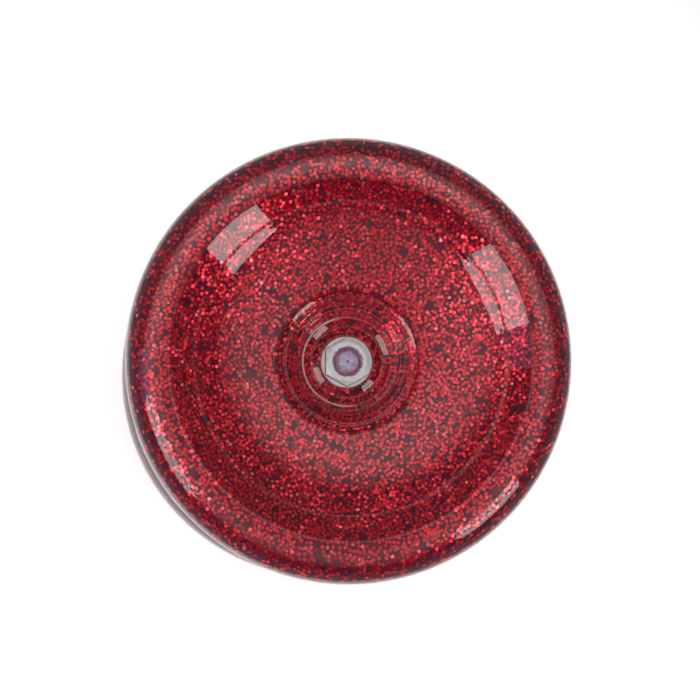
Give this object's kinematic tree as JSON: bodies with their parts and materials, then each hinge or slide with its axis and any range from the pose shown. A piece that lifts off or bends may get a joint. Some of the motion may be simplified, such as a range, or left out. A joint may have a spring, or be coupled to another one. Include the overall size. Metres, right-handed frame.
{
  "type": "diabolo",
  "caption": "Spool-shaped juggling prop: two clear cups lined with red glitter, clamped on a through stud, with a string roller on ball bearings between them.",
  "frame": {"origin": "middle of the plane that the lower cup's rim stands on", "axes": "+Z along the axle, from the lower cup to the upper cup"},
  "size_m": [0.105, 0.105, 0.112],
  "materials": {
    "clear_front": "clear, polished",
    "clear_rear": "clear, polished",
    "glitter_film": "round red glitter flakes on a dark wine-coloured ground",
    "hub_aluminium": "turned",
    "flange_aluminium": "turned, polished",
    "plated_steel": "bright zinc plate",
    "stud_steel": "rolled thread, cut end",
    "roller_steel": "turned and polished",
    "cage_brass": "stamped",
    "ball_steel": "polished",
    "shield_steel": "stamped",
    "bearing_steel": "ground",
    "spring_steel": "blackened",
    "spacer_aluminium": "turned"
  },
  "bodies": {
    "cups": {"axle_stud": "stud_steel", "lower_bearing_inner_ring": "bearing_steel", "lower_dish_window": "clear_front", "lower_end_spacer": "spacer_aluminium", "lower_glitter_liner": "glitter_film", "lower_hub_boss": "clear_front", "lower_hub_tube": "hub_aluminium", "lower_inner_spacer": "spacer_aluminium", "lower_neck_flange": "flange_aluminium", "lower_nut": "plated_steel", "lower_rear_shell": "clear_rear", "lower_rim_ring": "clear_front", "lower_washer": "plated_steel", "middle_bearing_inner_ring": "bearing_steel", "upper_bearing_inner_ring": "bearing_steel", "upper_dish_window": "clear_front", "upper_end_spacer": "spacer_aluminium", "upper_glitter_liner": "glitter_film", "upper_hub_boss": "clear_front", "upper_hub_tube": "hub_aluminium", "upper_inner_spacer": "spacer_aluminium", "upper_neck_flange": "flange_aluminium", "upper_nut": "plated_steel", "upper_rear_shell": "clear_rear", "upper_rim_ring": "clear_front", "upper_washer": "plated_steel"},
    "roller": {"lower_bearing_outer_ring": "bearing_steel", "lower_bearing_shields": "shield_steel", "lower_outer_spacer": "spacer_aluminium", "lower_retaining_clip": "spring_steel", "middle_bearing_outer_ring": "bearing_steel", "middle_bearing_shields": "shield_steel", "string_roller": "roller_steel", "upper_bearing_outer_ring": "bearing_steel", "upper_bearing_shields": "shield_steel", "upper_outer_spacer": "spacer_aluminium", "upper_retaining_clip": "spring_steel"},
    "lower_ball_cage": {"lower_bearing_cage": "cage_brass", "lower_bearing_balls": "ball_steel"},
    "middle_ball_cage": {"middle_bearing_cage": "cage_brass", "middle_bearing_balls": "ball_steel"},
    "upper_ball_cage": {"upper_bearing_cage": "cage_brass", "upper_bearing_balls": "ball_steel"}
  },
  "joints": [
    {"name": "roller_spin", "type": "hinge", "parent": "cups", "child": "roller", "pos_m": [0, 0, 0.056], "axis": [0, 0, 1], "continuous": true},
    {"name": "lower_cage_spin", "type": "hinge", "parent": "cups", "child": "lower_ball_cage", "pos_m": [0, 0, 0.0475], "axis": [0, 0, 1], "continuous": true},
    {"name": "middle_cage_spin", "type": "hinge", "parent": "cups", "child": "middle_ball_cage", "pos_m": [0, 0, 0.056], "axis": [0, 0, 1], "continuous": true},
    {"name": "upper_cage_spin", "type": "hinge", "parent": "cups", "child": "upper_ball_cage", "pos_m": [0, 0, 0.0645], "axis": [0, 0, 1], "continuous": true}
  ],
  "couplings": [
    {"joint": "lower_cage_spin", "follows": "roller_spin", "ratio": 0.58889},
    {"joint": "middle_cage_spin", "follows": "roller_spin", "ratio": 0.58889},
    {"joint": "upper_cage_spin", "follows": "roller_spin", "ratio": 0.58889}
  ]
}
